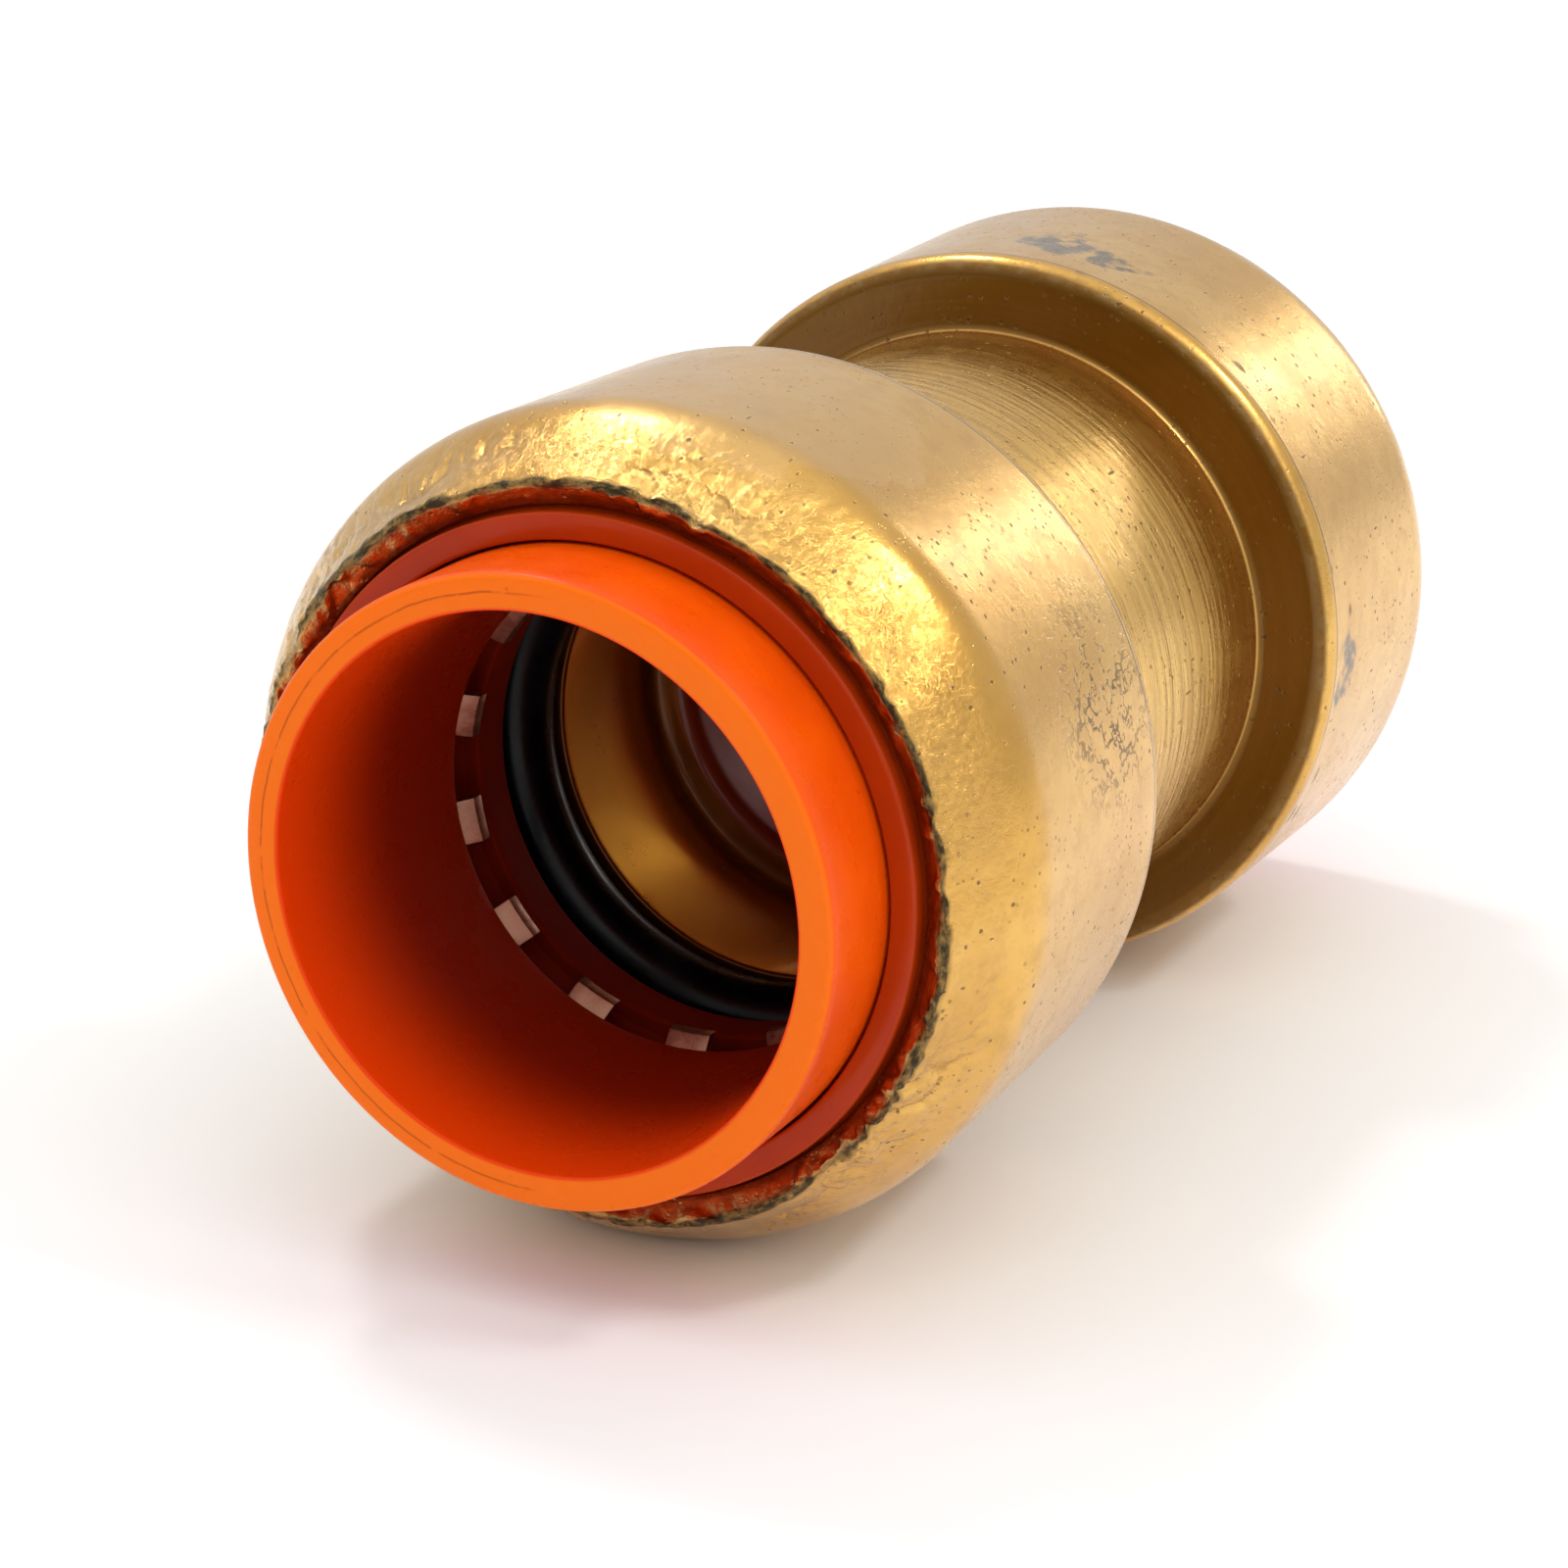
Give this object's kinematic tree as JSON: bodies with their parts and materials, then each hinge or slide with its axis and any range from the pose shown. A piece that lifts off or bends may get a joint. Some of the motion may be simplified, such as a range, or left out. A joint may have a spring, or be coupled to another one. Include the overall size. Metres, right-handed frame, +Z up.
{
  "type": "push fit coupling",
  "caption": "Straight brass push fit coupling that joins two tubes end to end, with an orange release collar, grab ring and rubber seal in each crimped bell.",
  "frame": {"origin": "the middle of the coupling, on the tube axis, half way through the tube stop", "axes": "+X along the tube axis towards socket b, +Z up as the coupling lies, one tooth of each grab ring points straight down"},
  "size_m": [0.0512, 0.027, 0.027],
  "materials": {
    "brass": "worn satin brass",
    "collar_plastic": "bright orange moulded plastic",
    "cartridge_plastic": "brick orange moulded plastic",
    "protector_plastic": "red moulded plastic",
    "steel": "stamped stainless steel",
    "rubber": "smooth black rubber"
  },
  "bodies": {
    "fitting": {"body": "brass", "cartridge_a": "cartridge_plastic", "o_ring_protector_a": "protector_plastic", "o_ring_a": "rubber", "cartridge_b": "cartridge_plastic", "o_ring_protector_b": "protector_plastic", "o_ring_b": "rubber"},
    "grab_ring_a": {"grab_ring_a": "steel"},
    "release_collar_a": {"release_collar_a": "collar_plastic"},
    "grab_ring_b": {"grab_ring_b": "steel"},
    "release_collar_b": {"release_collar_b": "collar_plastic"}
  },
  "joints": [
    {"name": "grab_ring_turn_a", "type": "hinge", "parent": "fitting", "child": "grab_ring_a", "pos_m": [-0.01648, 0, 0], "axis": [1, 0, 0], "continuous": true},
    {"name": "collar_press_a", "type": "slide", "parent": "grab_ring_a", "child": "release_collar_a", "axis": [1, 0, 0], "range_m": [0, 0.0015], "stiffness_N_per_m": 100, "deforming": ["grab_ring_a"]},
    {"name": "grab_ring_turn_b", "type": "hinge", "parent": "fitting", "child": "grab_ring_b", "pos_m": [0.01648, 0, 0], "axis": [1, 0, 0], "continuous": true},
    {"name": "collar_press_b", "type": "slide", "parent": "grab_ring_b", "child": "release_collar_b", "axis": [-1, 0, 0], "range_m": [0, 0.0015], "stiffness_N_per_m": 100, "deforming": ["grab_ring_b"]}
  ]
}
